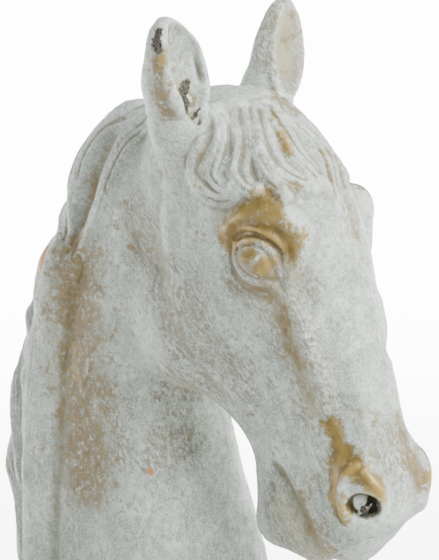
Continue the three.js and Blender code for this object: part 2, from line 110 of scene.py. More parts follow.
class Clay:
    """Signed distances in millimetres on a grid of cells, below 0 inside the clay."""

    def __init__(self, verts, polygons, step, margin=14.0, band=16.0):
        self.step = step
        self.lo = verts.min(0) - margin
        self.shape = tuple(int(n) for n in np.ceil((verts.max(0) + margin - self.lo) / step) + 1)
        triangles = np.array([t for p in polygons for t in fan(p)], np.int32)
        grid = openvdb.FloatGrid.createLevelSetFromPolygons(
            ((verts - self.lo) / step).astype(np.float32), triangles=triangles, halfWidth=band / step
        )
        self.field = np.full(self.shape, grid.background, np.float32)
        grid.copyToArray(self.field)
        self.field *= step

    def window(self, lo, hi):
        """The cells between two points, with their coordinates."""
        a = np.clip(np.floor((np.array(lo) - self.lo) / self.step).astype(int), 0, self.shape)
        b = np.clip(np.ceil((np.array(hi) - self.lo) / self.step).astype(int) + 1, 0, self.shape)
        cells = tuple(slice(i, j) for i, j in zip(a, b))
        axes = [self.lo[i] + self.step * np.arange(a[i], b[i]) for i in range(3)]
        x, y, z = np.meshgrid(*axes, indexing="ij", sparse=True)
        return cells, x.astype(np.float32), y.astype(np.float32), z.astype(np.float32)

    def blur(self, radius):
        """Softens the whole form by about a radius."""
        self.field = box_blur(self.field, max(0, round(radius / self.step)))

    def merge(self, cells, shape, k, cut):
        """Blends a shape's distances into the cells over k millimetres, or cuts it out of them."""
        old = self.field[cells]
        self.field[cells] = -smooth_min(-old, shape, k) if cut else smooth_min(old, shape, k)

    def ball(self, at, radii, k=6.0, tilt=0.0, yaw=0.0, cut=False):
        """Adds or cuts an ellipsoid. tilt turns it about Y, and yaw about Z, in degrees."""
        reach = max(radii) + k
        cells, x, y, z = self.window(np.array(at) - reach, np.array(at) + reach)
        if 0 in self.field[cells].shape:
            return
        x, y, z = x - at[0], y - at[1], z - at[2]
        c, s = math.cos(math.radians(yaw)), math.sin(math.radians(yaw))
        x, y = x * c + y * s, y * c - x * s
        c, s = math.cos(math.radians(tilt)), math.sin(math.radians(tilt))
        x, z = x * c - z * s, z * c + x * s
        n = np.sqrt((x / radii[0]) ** 2 + (y / radii[1]) ** 2 + (z / radii[2]) ** 2)
        g = np.sqrt((x / radii[0] ** 2) ** 2 + (y / radii[1] ** 2) ** 2 + (z / radii[2] ** 2) ** 2)
        self.merge(cells, n * (n - 1.0) / np.maximum(g, 1e-6), k, cut)

    def curve_distance(self, rows, reach):
        """Distance to a curve of x, y, z, radius rows, less the radius there. It is only worked out
        within reach of the curve's skin."""
        points, radii = rows[:, :3], rows[:, 3]
        reach = reach + radii.max()
        cells, x, y, z = self.window(points.min(0) - reach, points.max(0) + reach)
        best = np.full([c.stop - c.start for c in cells], 1e3, np.float32)
        start = self.lo + self.step * np.array([c.start for c in cells])
        for a, b, ra, rb in zip(points, points[1:], radii, radii[1:]):
            low = np.floor((np.minimum(a, b) - reach - start) / self.step).astype(int)
            high = np.ceil((np.maximum(a, b) + reach - start) / self.step).astype(int) + 1
            low, high = np.clip(low, 0, best.shape), np.clip(high, 0, best.shape)
            i, j, k = (slice(m, n) for m, n in zip(low, high))
            d = b - a
            length2 = max(float(d @ d), 1e-6)
            px, py, pz = x[i] - a[0], y[:, j] - a[1], z[:, :, k] - a[2]
            t = np.clip((px * d[0] + py * d[1] + pz * d[2]) / length2, 0, 1)
            px, py, pz = px - d[0] * t, py - d[1] * t, pz - d[2] * t
            here = np.sqrt(px * px + py * py + pz * pz) - (ra + (rb - ra) * t)
            best[i, j, k] = np.minimum(best[i, j, k], here)
        return cells, best

    def slope(self, places):
        """The way out of the clay at places, as unit vectors."""
        rises = [
            self.sample(self.field, places + nudge) - self.sample(self.field, places - nudge)
            for nudge in np.eye(3) * self.step
        ]
        out = np.stack(rises, axis=1)
        return out / np.maximum(np.linalg.norm(out, axis=1)[:, None], 1e-6)

    def on_skin(self, places, lift=0.0):
        """Moves x, y, z places straight to the clay's surface, or lift millimetres above it."""
        places = np.array(places, float)
        for _ in range(4):
            places -= self.slope(places) * (self.sample(self.field, places) - lift)[:, None] * 0.9
        return places

    def roll(self, points, k=3.0, cut=False, lift=None):
        """Adds or cuts a roll of clay along x, y, z, radius points, laid on the skin if lift is given."""
        rows = spline(points)
        if lift is not None:
            rows[:, :3] = self.on_skin(rows[:, :3], lift)
        rows[:, 3] = np.maximum(rows[:, 3], 0.4)
        cells, d = self.curve_distance(rows, k + 2)
        if 0 not in d.shape:
            self.merge(cells, d, k, cut)

    def swell(self, points, height, width):
        """Raises the skin softly along a curve of x, y, z points, or lowers it if height is below 0."""
        rows = np.array([[*p[:3], 0.0] for p in points])
        rows = spline(rows) if len(rows) > 1 else np.vstack([rows, rows])
        rows[:, :3] = self.on_skin(rows[:, :3])
        cells, d = self.curve_distance(rows, width * 2.5)
        if 0 not in d.shape:
            self.field[cells] -= (height * np.exp(-((d / width) ** 2))).astype(np.float32)

    def keep_above(self, z0):
        """Cuts all the clay off below a height."""
        _, _, _, z = self.window(self.lo, self.lo + np.array(self.shape) * self.step)
        self.field = np.maximum(self.field, z0 - z)

    def sample(self, field, points):
        """Values of a field at points, between cells."""
        q = np.clip((points - self.lo) / self.step, 0, np.array(self.shape) - 1.001)
        i = q.astype(int)
        f = q - i
        out = 0.0
        for corner in range(8):
            d = np.array([corner & 1, corner >> 1 & 1, corner >> 2 & 1])
            w = np.prod(np.where(d, f, 1 - f), axis=1)
            j = i + d
            out = out + w * field[j[:, 0], j[:, 1], j[:, 2]]
        return out

    def piece(self, name):
        """The clay's surface as a smooth-shaded object in metres, with how its surface bends kept
        as the attributes ridge_fine and ridge_broad: above 0 on ridges and below 0 in hollows."""
        band = 3.0 * self.step
        grid = openvdb.FloatGrid(band)
        grid.copyFromArray(np.clip(self.field, -band, band))
        points, triangles, quads = grid.convertToPolygons(isovalue=0.0, adaptivity=0.0)
        points = points.astype(float) * self.step + self.lo
        mesh = bpy.data.meshes.new(name)
        faces = [tuple(int(i) for i in f[::-1]) for f in [*quads, *triangles]]
        mesh.from_pydata((points * MM).tolist(), [], faces)
        keep_largest(mesh)
        points = verts_of(mesh) / MM
        near = np.clip(self.field, -12, 12)
        for attribute, radius in (("ridge_fine", 2.0), ("ridge_broad", 6.0)):
            soft = box_blur(near, max(1, round(radius / self.step)))
            put(mesh, attribute, self.sample(soft - near, points) / radius)
        mesh.shade_smooth()
        piece = bpy.data.objects.new(name, mesh)
        bpy.context.scene.collection.objects.link(piece)
        return piece


def fan(polygon):
    """A polygon's triangles."""
    return [(polygon[0], polygon[i], polygon[i + 1]) for i in range(1, len(polygon) - 1)]


def verts_of(mesh):
    co = np.zeros(len(mesh.vertices) * 3, np.float32)
    mesh.vertices.foreach_get("co", co)
    return co.reshape(-1, 3).astype(float)


def put(mesh, name, values):
    """Keeps one number for every point, which a material can read by its name."""
    attribute = mesh.attributes.get(name) or mesh.attributes.new(name, "FLOAT", "POINT")
    attribute.data.foreach_set("value", np.asarray(values, np.float32))


def keep_largest(mesh):
    """Drops every loose scrap but the largest island, and makes the faces look outwards."""
    bm = bmesh.new()
    bm.from_mesh(mesh)
    seen, islands = set(), []
    for v in bm.verts:
        if v.index in seen:
            continue
        island, todo = [], [v]
        seen.add(v.index)
        while todo:
            w = todo.pop()
            island.append(w)
            for e in w.link_edges:
                o = e.other_vert(w)
                if o.index not in seen:
                    seen.add(o.index)
                    todo.append(o)
        islands.append(island)
    islands.sort(key=len)
    for island in islands[:-1]:
        bmesh.ops.delete(bm, geom=island, context="VERTS")
    if bm.calc_volume(signed=True) < 0:
        bmesh.ops.reverse_faces(bm, faces=bm.faces)
    bm.to_mesh(mesh)
    bm.free()


def cad_mesh(name):
    """A CAD node's points in millimetres and its polygons, with doubled points merged."""
    bm = bmesh.new()
    bm.from_mesh(frame["nodes"][name].data)
    bmesh.ops.remove_doubles(bm, verts=bm.verts, dist=1e-6)
    verts = np.array([v.co for v in bm.verts]) / MM
    polygons = [[v.index for v in f.verts] for f in bm.faces]
    bm.free()
    return verts, polygons


def cad_skin(name, floor_z):
    """The outer skin of a hollow casting that is open underneath, closed across its foot."""
    bm = bmesh.new()
    bm.from_mesh(frame["nodes"][name].data)
    bmesh.ops.remove_doubles(bm, verts=bm.verts, dist=1e-6)
    foot = [f for f in bm.faces if all(abs(v.co.z / MM - floor_z) < 0.05 for v in f.verts)]
    bmesh.ops.delete(bm, geom=foot, context="FACES")
    foremost = max(bm.verts, key=lambda v: v.co.x)
    skin, todo = {foremost}, [foremost]
    while todo:
        for e in todo.pop().link_edges:
            for v in e.verts:
                if v not in skin:
                    skin.add(v)
                    todo.append(v)
    bmesh.ops.delete(bm, geom=[v for v in bm.verts if v not in skin], context="VERTS")
    rim = [e for e in bm.edges if e.is_boundary]
    bmesh.ops.triangle_fill(bm, edges=rim, use_beauty=True)
    bm.verts.index_update()
    verts = np.array([v.co for v in bm.verts]) / MM
    polygons = [[v.index for v in f.verts] for f in bm.faces]
    bm.free()
    return verts, polygons


# ---------------------------------------------------------------- the horse's head
SIDES = (-1, 1)  # its right, which is -Y, and its left


def flip(points, side):
    """Points given for the right side, moved to the side asked for."""
    return [(p[0], p[1] * -side, *p[2:]) for p in points]


def shift(points, dx=0.0, dy=0.0, dz=0.0):
    """Points moved together. A radius that follows x, y and z stays as it is."""
    return [(p[0] + dx, p[1] + dy, p[2] + dz, *p[3:]) for p in points]


def lock(clay, points, strands, height, rise, soft):
    """A lock of hair lying on the skin: a low, soft mass that stands rise radii proud, with strands
    along it that part at its root and meet in its tip, and combed lines between them."""
    rows = spline(points, 6)
    place = clay.on_skin(rows[:, :3])
    out = clay.slope(place)
    along = np.gradient(place, axis=0)
    along /= np.maximum(np.linalg.norm(along, axis=1)[:, None], 1e-6)
    across = np.cross(out, along)
    radius = rows[:, 3:4]
    core = np.hstack([place - out * radius * (1.0 - rise), radius])
    clay.roll(core[::3].tolist(), k=soft)
    t = np.linspace(0, 1, len(rows))[:, None]
    for i in range(2 * strands - 1):
        off = (i / (strands - 1) - 1) * 0.85 if strands > 1 else 0.0
        path = place + across * radius * (off + 0.16 * np.sin(5.0 * t + 2.1 * i)) + out * radius * rise * 0.6
        if i % 2 == 0:
            clay.swell(path[::3].tolist(), height, max(2.0, 0.24 * float(radius.mean())))
        else:
            clay.swell(path[2:-2:3].tolist(), -height, 1.8)


EYE_AT = (162.0, -52.0, 489.0)
EYE_RADIUS = 23.5
EYE_OUT = (0.36, -0.92, 0.14)
EYE_ALONG = (0.86, 0.36, -0.34)


def on_eye(side, spots, radius):
    """Points on a sphere round the eye's centre, from (along, up, radius) spots."""
    out = np.array(EYE_OUT) / np.linalg.norm(EYE_OUT)
    along = np.array(EYE_ALONG) - out * (np.array(EYE_ALONG) @ out)
    along /= np.linalg.norm(along)
    up = np.cross(along, out)
    up *= np.sign(up[2])
    points = []
    for u, v, r in spots:
        w = math.sqrt(max(radius**2 - u**2 - v**2, 16.0))
        p = np.array(EYE_AT) + along * u + up * v + out * w
        points.append((p[0], p[1], p[2], r))
    return flip(points, side)


# Creases round the eye and in the eyeball, as (along, up) places on a sphere round its centre,
# then the sphere's radius, how high they rise, and how wide they are.
EYE_CREASES_ABOVE = [
    ([(-31, 15), (-22, 26), (-4, 32), (13, 31), (25, 20), (30, 6)], 36, -1.1, 3.2),
    ([(-27, 8), (-17, 17), (-1, 21.5), (13, 18), (22, 7)], 28, -1.2, 2.4),
]
EYE_CREASES = [
    ([(-27, 0), (-23, -12), (-10, -21), (6, -23), (19, -21)], EYE_RADIUS + 1, -1.6, 2),
    ([(-20, -20), (-6, -28), (10, -30), (22, -28)], EYE_RADIUS + 6, -1.3, 2),
    ([(-20, 1), (-14, 8), (-5, 11.5), (5, 11.5), (13, 5), (19, -5)], EYE_RADIUS, -1.5, 1.5),
    ([(-20, 1), (-16, -7), (-8, -12), (3, -14), (13, -12), (19, -8)], EYE_RADIUS, -1.5, 1.5),
    ([(24, -10), (31, -14)], 33, -2.2, 2.6),
]
# Its folds and lids are rolls, with their own radius at each place.
BROW = [(-38, 12, 3), (-28, 27, 7), (-9, 37, 9.5), (11, 38, 10), (27, 29, 9), (34, 12, 7), (35, -4, 3)]
FOLD = [(-30, 11, 2), (-22, 21, 3.4), (-6, 27, 4.2), (10, 26, 4.2), (20, 18, 3.8), (26, 5, 2.4)]
UPPER_LID = [
    (-23, 1, 1.4), (-18, 9.5, 1.9), (-7, 15.5, 2.2), (6, 15.5, 2.2), (16, 9, 2.0), (22, -3, 2.0),
    (25, -12, 1.2),
]
LOWER_LID = [(-23, 1, 1.2), (-20, -8, 1.6), (-11, -15, 1.8), (2, -18, 1.8), (14, -16, 1.7), (25, -13, 1.3)]


def crease_eye(clay, side, creases):
    for places, radius, height, width in creases:
        clay.swell(on_eye(side, [(u, v, 0) for u, v in places], radius), height, width)


def model_eye(clay, side):
    """The eyeball, the folds above it from the brow's crest down, and the lids."""
    clay.ball(flip([EYE_AT], side)[0], (EYE_RADIUS, EYE_RADIUS, EYE_RADIUS), k=5)
    clay.roll(on_eye(side, BROW, 40), k=9, lift=-2)
    clay.roll(on_eye(side, FOLD, 32), k=3, lift=-2)
    crease_eye(clay, side, EYE_CREASES_ABOVE)
    for lid in (UPPER_LID, LOWER_LID):
        clay.roll(on_eye(side, lid, EYE_RADIUS + 1), k=1.8, lift=-0.4)
    crease_eye(clay, side, EYE_CREASES)


def model_nostril(clay, side):
    clay.ball(flip([(255, -30, 288)], side)[0], (26, 16, 33), k=10, tilt=14)
    clay.swell(flip([(246, -24, 392), (256, -25, 362), (266, -26, 338)], side), 4.5, 13)
    rim = [
        (262, -44, 322, 2), (254, -46, 313, 3.4), (249, -47.5, 300, 4.2), (249, -47.5, 286, 4.4),
        (253, -46, 272, 4.0), (262, -43, 263, 3.6), (273, -39, 262, 3.2), (282, -33, 269, 3.2),
        (285, -29, 281, 3.6), (283, -31, 294, 3.6), (277, -36, 306, 3.0), (269, -41, 317, 2.0),
    ]
    clay.roll(flip(rim, side), k=5, lift=-1.6)
    clay.swell(flip([(264, -45, 306), (260, -46, 298)], side), -3.2, 5)
    clay.swell(flip([(266, -42, 290), (270, -40, 280)], side), -5.0, 9)
    clay.ball(flip([(269, -42, 285)], side)[0], (16, 17, 12.5), k=2.5, yaw=28, cut=True)
    clay.ball(flip([(261, -33, 287)], side)[0], (7, 9, 9), k=2)
    clay.roll(flip([(262, -38, 277, 1.5), (268, -36, 280, 2.2), (273, -34, 287, 1.5)], side), k=2)


def model_mouth(clay, side):
    line = [
        (168, -40, 300, 0.8), (176, -45, 293, 2.0), (187, -47, 284, 3.0), (197, -47, 272, 3.6),
        (204, -46, 259, 4.0), (209, -43, 244, 4.4), (213, -36, 229, 4.6), (215, -22, 217, 4.6),
        (216, -4, 212, 4.6), (216, 4, 212, 4.6),
    ]
    clay.swell(flip([(p[0] + 13, p[1] * 0.97, p[2] + 4) for p in line[2:9]], side), 3.4, 9)
    clay.swell(flip([(p[0] - 13, p[1] * 0.95, p[2] - 6) for p in line[3:8]], side), 2.4, 8)
    clay.swell(flip(line[1:], side), -5.0, 7.5)
    clay.roll(flip([(*p[:3], p[3] * 0.5) for p in line], side), k=5, cut=True, lift=0.3)
    clay.swell(flip([(166, -40, 300), (174, -43, 294)], side), -2.4, 8)
    clay.swell(flip([(172, -42, 272), (182, -44, 262), (190, -42, 250)], side), 2.0, 4)
    clay.swell(flip([(164, -40, 279)], side), -2.6, 7)
    clay.swell(flip([(168, -34, 250), (176, -30, 232)], side), 3.0, 14)
    clay.swell(flip([(232, -30, 216), (246, -22, 214), (262, -16, 222), (276, -10, 236)], side), -8.0, 18)


def model_cheek(clay, side):
    jaw = [(52, -66, 545), (44, -66, 500), (52, -70, 455), (74, -70, 410), (98, -62, 374), (124, -50, 350)]
    clay.swell(flip(jaw, side), -2.6, 11)
    clay.swell(flip(shift(jaw, dx=19, dz=5), side), 1.6, 12)
    crest = [(190, -58, 466), (202, -55, 446), (213, -52, 422), (221, -49, 396), (226, -45, 366)]
    clay.swell(flip(crest, side), 2.6, 10)
    clay.swell(flip(shift(crest, dx=-19, dy=2, dz=-4), side), -2.0, 14)
    clay.swell(flip([(128, -66, 532), (118, -68, 512)], side), -3.0, 17)
    clay.swell(flip([(240, -38, 392), (252, -36, 350)], side), -1.6, 13)
    clay.swell(flip([(140, -62, 440), (160, -58, 400), (186, -52, 360), (205, -48, 330)], side), -1.5, 16)
    for vein in (
        [(196, -58, 446), (186, -57, 420), (190, -54, 396), (182, -53, 372), (190, -49, 346)],
        [(186, -57, 420), (170, -60, 404), (160, -60, 384), (142, -56, 366)],
    ):
        clay.swell(flip(vein, side), 1.0, 3.2)


def model_neck(clay, side):
    clay.swell(flip([(60, -62, 545), (30, -56, 510), (-6, -56, 462), (-30, -60, 420)], side), 2.0, 7)
    clay.swell(flip([(84, -40, 372), (66, -52, 330), (72, -58, 270), (84, -62, 200)], side), -2.4, 15)
    clay.swell(flip([(-10, -70, 380), (10, -78, 300), (20, -84, 200)], side), 2.0, 32)
    clay.swell(flip([(-36, -58, 424), (-26, -58, 418)], side), 2.6, 7)
    clay.swell(flip([(-84, -54, 400), (-84, -62, 340), (-80, -70, 280), (-82, -72, 210)], side), -1.6, 12)


# The mane's locks, as x, y, z, radius points for the right side.
MANE = [
    [
        (34, -12, 602, 5), (4, -16, 594, 9), (-28, -20, 578, 11), (-52, -24, 553, 11), (-68, -27, 524, 10),
        (-77, -30, 496, 8), (-80, -35, 470, 6), (-88, -39, 444, 2),
    ],
    [
        (30, -28, 598, 4), (4, -37, 586, 8), (-16, -42, 562, 9), (-29, -45, 534, 8.5), (-36, -46, 506, 8),
        (-50, -46, 478, 7), (-66, -45, 454, 5), (-78, -46, 428, 2),
    ],
    [
        (-74, -8, 522, 5), (-90, -14, 498, 9), (-101, -19, 474, 10), (-102, -26, 448, 8),
        (-98, -32, 424, 6), (-98, -39, 392, 2),
    ],
    [
        (-92, -4, 486, 6), (-117, -8, 458, 11), (-132, -14, 430, 13), (-131, -21, 402, 9),
        (-126, -30, 374, 6), (-124, -37, 346, 6), (-121, -43, 312, 2),
    ],
    [
        (-90, -42, 452, 4), (-98, -44, 420, 7), (-103, -46, 382, 8), (-105, -51, 342, 7.5),
        (-104, -56, 300, 6.5), (-103, -61, 262, 4), (-105, -64, 228, 2),
    ],
    [
        (-124, -4, 396, 4), (-141, -9, 366, 9), (-158, -16, 338, 12), (-158, -26, 304, 11),
        (-149, -36, 276, 8), (-143, -43, 246, 5), (-141, -49, 218, 2),
    ],
    [
        (-122, -43, 330, 4), (-124, -49, 292, 7), (-122, -56, 254, 8), (-119, -61, 216, 7),
        (-121, -65, 180, 5), (-125, -64, 148, 2),
    ],
    [
        (-145, -2, 344, 7), (-160, -7, 308, 12), (-167, -14, 272, 12), (-163, -24, 238, 11),
        (-154, -35, 208, 8), (-147, -44, 176, 5), (-145, -50, 148, 2),
    ],
    [
        (-154, -2, 280, 8), (-164, -7, 244, 12), (-165, -15, 208, 12), (-156, -26, 176, 10),
        (-147, -35, 148, 7), (-142, -44, 124, 3),
    ],
    [
        (-152, -2, 214, 8), (-155, -8, 184, 11), (-150, -16, 156, 10), (-143, -26, 132, 7),
        (-138, -32, 116, 4),
    ],
]
# The forelock's locks, from the poll down over the forehead. They are given as they lie.
FORELOCK = [
    [
        (98, -27, 612, 7), (106, -48, 593, 11), (100, -58, 574, 12), (96, -64, 557, 10), (108, -66, 545, 8),
        (128, -64, 539, 6), (141, -60, 545, 2),
    ],
    [
        (98, -36, 606, 4), (116, -52, 588, 7), (118, -58, 572, 7), (116, -62, 558, 6), (126, -62, 548, 4),
        (138, -60, 545, 2),
    ],
    [
        (107, -20, 614, 6), (127, -38, 595, 9), (135, -49, 576, 9), (137, -56, 560, 8), (150, -56, 549, 4),
        (158, -52, 547, 2),
    ],
    [
        (118, -8, 611, 5), (141, -28, 592, 8), (154, -36, 577, 8), (168, -37, 564, 7), (183, -30, 555, 5),
        (196, -20, 549, 2),
    ],
    [
        (146, -36, 582, 3), (158, -43, 565, 5), (168, -43, 556, 5), (180, -42, 545, 2),
    ],
    [
        (120, -2, 612, 4), (138, -10, 600, 8), (156, -15, 588, 8), (170, -18, 575, 7), (184, -14, 562, 5),
        (196, -10, 548, 2),
    ],
    [
        (124, 6, 608, 5), (140, 4, 601, 7), (156, 8, 591, 8), (168, 11, 580, 8), (182, 8, 568, 8),
        (193, 2, 556, 7), (202, -2, 542, 5), (210, -3, 528, 2),
    ],
    [
        (104, 14, 614, 5), (126, 20, 600, 10), (144, 26, 587, 10), (158, 24, 574, 8), (176, 20, 564, 8),
        (192, 16, 548, 7), (202, 10, 532, 2),
    ],
    [
        (94, 24, 610, 6), (110, 44, 594, 11), (112, 56, 576, 11), (116, 60, 560, 9), (130, 60, 548, 7),
        (146, 56, 542, 2),
    ],
    [
        (112, 30, 604, 5), (130, 44, 586, 8), (146, 46, 570, 8), (160, 42, 556, 6), (174, 40, 546, 2),
    ],
]
# The mane's body under its locks, and its edge on the neck's side.
MANE_BODY = [
    (-20, -14, 584, 10), (-54, -18, 536, 13), (-78, -20, 480, 14), (-102, -22, 420, 16), (-120, -25, 360, 18),
    (-130, -28, 300, 20), (-134, -30, 240, 21), (-130, -30, 180, 22), (-124, -30, 120, 24),
]
MANE_SIDE = [
    (-84, -44, 440, 8), (-96, -50, 390, 11), (-100, -54, 330, 12), (-100, -60, 270, 12), (-104, -64, 200, 12),
    (-108, -62, 140, 12),
]
# Dips in the mane's ridge, with their depths.
MANE_NOTCHES = [((-150, -4, 388), 11), ((-112, -10, 460), 6), ((-92, -10, 504), 5)]


def model_mane(clay):
    for side in SIDES:
        clay.roll(flip(MANE_BODY, side), k=18)
        clay.roll(flip(MANE_SIDE, side), k=18)
        for notch, depth in MANE_NOTCHES:
            clay.swell(flip([notch, *shift([notch], 4, -18, -3)], side), -depth, 12)
        for i, points in enumerate(MANE):
            here = flip(points, side)
            if side > 0:  # the left side's locks fall a little differently
                here = shift(here, dx=4 * math.sin(i * 1.7), dz=-9 + 7 * math.cos(i * 2.3))
            lock(clay, here, 4, 1.8 if i < 2 else 1.2, 0.9, 13)
    for points in FORELOCK:
        lock(clay, points, 5 if points[1][3] > 7 else 3, 1.9, 0.5, 8)


def roughen(mesh, height, size, seed):
    """Moves every point along its normal by soft noise, for a hand-made surface. In metres."""
    normals = np.zeros(len(mesh.vertices) * 3, np.float32)
    mesh.vertices.foreach_get("normal", normals)
    normals = normals.reshape(-1, 3)
    co = verts_of(mesh)
    rise = np.array([noise.fractal(Vector(p / size) + Vector((seed, 0, 0)), 0.8, 2.2, 3) for p in co])
    co += normals * (rise * height)[:, None]
    mesh.vertices.foreach_set("co", co.astype(np.float32).ravel())
    mesh.update()


# ---------------------------------------------------------------- the ears
def turn(v, axis, degrees):
    """A vector turned about an axis of the row frame."""
    c, s = math.cos(math.radians(degrees)), math.sin(math.radians(degrees))
    x, y, z = v
    if axis == "X":
        return (x, y * c - z * s, y * s + z * c)
    if axis == "Y":
        return (x * c + z * s, y, z * c - x * s)
    return (x * c - y * s, x * s + y * c, z)


class Ear:
    """An ear's own directions: forward out of its hollow, across it away from the head, and up."""

    def __init__(self, side):
        self.side = side
        self.name = "right_ear" if side < 0 else "left_ear"
        upright = ((1, 0, 0), (0, side, 0), (0, 0, 1))
        ways = [turn(turn(turn(v, "Z", -12 * side), "Y", -3), "X", -10 * side) for v in upright]
        self.forward, self.out, self.up = (np.array(way) for way in ways)
        verts, self.polygons = cad_mesh(self.name)
        height = verts @ self.up
        self.seat = verts[height < height.min() + 0.4].mean(0)
        local = (verts - self.seat) @ np.array([self.forward, self.out, self.up]).T
        self.verts = np.array([p[:3] for p in self.at(local)])

    def at(self, rows):
        """Points in millimetres from (forward, out, up, ...) rows measured from the seat. The left
        ear is slimmer than the right one, and leans out a little."""
        points = []
        for f, a, u, *rest in rows:
            if self.side > 0:
                share = min(max(u / 18, 0), 1)
                f = f * (1 - 0.22 * share) + 2 * share
                a = a * (1 - 0.2 * share) + (3 + u / 27) * share
            points.append((*(self.seat + self.forward * f + self.out * a + self.up * u), *rest))
        return points


EARS = {side: Ear(side) for side in SIDES}
# An ear's hollow and its rim, as forward, out, up and radius from the seat. They run on into the head.
EAR_HOLLOW = [
    (24, 3, -14, 1.5), (24, 5, -5, 6), (24, 5, 7, 11), (24, 4, 20, 15.5), (23.5, 3.5, 33, 18),
    (22.5, 3, 46, 18), (21, 1.5, 57, 15), (17, 0.5, 67, 9.5), (12.5, 0.5, 75, 3),
]
EAR_RIM = [
    (22.6, 3, -14, 1.8), (21.5, 12, -5, 2.4), (18, 20, 7, 2.8), (15, 24, 25, 2.8), (14, 24, 43, 2.8),
    (12.6, 19, 61, 2.8), (10, 13, 70, 2.6), (8, 5, 78, 2.4), (12, -4, 77, 2.4), (18, -11, 68, 2.6),
    (23, -17, 56, 2.8), (25, -20, 40, 2.8), (27, -18, 20, 2.8), (28, -12, 5, 2.6), (26, -5, -7, 2.2),
    (23, 2, -14, 1.8),
]


def carve_ear(clay, ear):
    """The rim and the hollow, which is deeper in the right ear than in the left."""
    deep = 0 if ear.side < 0 else 12
    clay.roll(ear.at(EAR_RIM), k=5)
    clay.roll(ear.at([(f + deep, a, u, r) for f, a, u, r in EAR_HOLLOW]), k=4, cut=True)


EAR_BODY = [(2, 0, 2, 19), (4, 0, 18, 19), (5, 0, 34, 19), (4, 0, 50, 16), (2, 0, 62, 11)]
EAR_FOOT = [(1, 0, 2, 20), (1, -1, -6, 22)]
EAR_ROOT = [(1, 0, 0, 21), (1, -2, -14, 25), (-2, -10, -30, 27)]
EAR_GRIT = [(12, -5, 15, 2.6), (12, 2, 11, 3.2), (14, 5, 4, 3.0), (13, -1, 6, 3.0), (17, 1, 0, 2.6)]


def make_ear(side):
    ear = EARS[side]
    clay = Clay(ear.verts, ear.polygons, EAR_CELL, margin=30, band=10)
    clay.roll(ear.at(EAR_BODY), k=6)
    clay.roll(ear.at(EAR_FOOT), k=8)
    clay.blur(2.0)
    clay.field -= 1.4
    carve_ear(clay, ear)
    if side < 0:
        for x, y, z, r in ear.at(EAR_GRIT):
            clay.ball((x, y, z), (r, r, r * 0.8), k=1.5)
    clay.blur(1.0)
    piece = clay.piece(f"{ear.name}_clay")
    roughen(piece.data, 0.0005, 0.02, 5.0 + side)
    roughen(piece.data, 0.00025, 0.006, 1.0)
    return piece


def model_ear_root(clay, side):
    """Where the ear's rim and hollow run on into the head, and the crack round the ear's foot."""
    ear = EARS[side]
    clay.roll(ear.at(EAR_ROOT), k=12)
    carve_ear(clay, ear)
    around = np.linspace(1.6, 4.9, 9)
    crack = [(27 * math.cos(t), 27 * math.sin(t), -5 - 3 * math.cos(2 * t), 0.7) for t in around]
    clay.roll(ear.at(crack), k=1.2, cut=True, lift=0)


def make_head():
    clay = Clay(*cad_skin("head_casting", FOOT_Z), HEAD_CELL)
    # the foot's section carries on downwards, so that the blur below doesn't round it off
    foot = int(round((FOOT_Z + 8 - clay.lo[2]) / HEAD_CELL))
    clay.field[:, :, :foot] = clay.field[:, :, foot : foot + 1]
    clay.blur(6.0)
    for side in SIDES:
        model_cheek(clay, side)
        model_neck(clay, side)
        model_mouth(clay, side)
        model_nostril(clay, side)
        model_eye(clay, side)
    model_mane(clay)
    for side in SIDES:
        model_ear_root(clay, side)
    clay.keep_above(FOOT_Z + 0.2)
    piece = clay.piece("horse_head")
    roughen(piece.data, 0.0011, 0.045, 3.0)
    roughen(piece.data, 0.0004, 0.009, 9.0)
    return piece


# ---------------------------------------------------------------- where the paint is worn or grimy, and where shade is painted
def to_chain(points, chain):
    """Distance from many points to a chain of points."""
    chain = np.array(chain, float)
    if len(chain) == 1:
        return np.linalg.norm(points - chain[0], axis=1)
    best = np.full(len(points), 1e9)
    for a, b in zip(chain, chain[1:]):
        d = b - a
        t = np.clip((points - a) @ d / max(float(d @ d), 1e-6), 0, 1)
        best = np.minimum(best, np.linalg.norm(points - a - t[:, None] * d, axis=1))
    return best


def stain(mesh, name, spots):
    """Keeps, for every point, how far inside a patch it is: a half is the patch's edge."""
    points = verts_of(mesh) / MM
    value = np.zeros(len(points))
    for chain, radius, strength in spots:
        value = np.maximum(value, strength * np.clip(1.0 - to_chain(points, chain) / (2 * radius), 0, 1))
    put(mesh, name, value)


def both(spots, dx=5.0, dz=-4.0, strength=0.92):
    """Patches on the right side, and weaker, shifted ones like them on the left."""
    left = [([(x + dx, -y, z + dz) for x, y, z in chain], r * 0.9, s * strength) for chain, r, s in spots]
    return spots + left


GOLD = both([
    ([(143, -68, 511), (158, -68, 521), (176, -64, 522), (191, -56, 510)], 15, 1.0),
    ([(150, -66, 528), (165, -60, 537), (182, -56, 532)], 12, 1.0),
    ([(196, -52, 502)], 9, 0.9),
    ([(130, -67, 507), (140, -67, 500)], 8, 0.95),
    ([(164, -76, 496), (172, -75, 500)], 7, 0.9),
    ([(181, -70, 492), (180, -72, 484)], 8, 0.9),
    ([(230, -40, 350), (238, -40, 336)], 8.5, 1.0),
    ([(244, -40, 326), (248, -42, 318), (258, -42, 320)], 13, 1.1),
    ([(242, -43, 308), (243, -43, 290), (249, -42, 274)], 9.5, 1.1),
    ([(-62, -60, 365), (-62, -64, 300)], 15, 0.5),
    ([(264, -42, 320), (272, -40, 312), (281, -34, 300)], 8, 1.05),
]) + [
    ([(133, -11, 603), (145, -14, 596), (156, -18, 588), (166, -24, 577)], 5.5, 1.0),
    ([(147, 3, 597), (159, 9, 588), (171, 9, 578), (186, 3, 565), (195, 0, 553)], 4, 0.8),
]
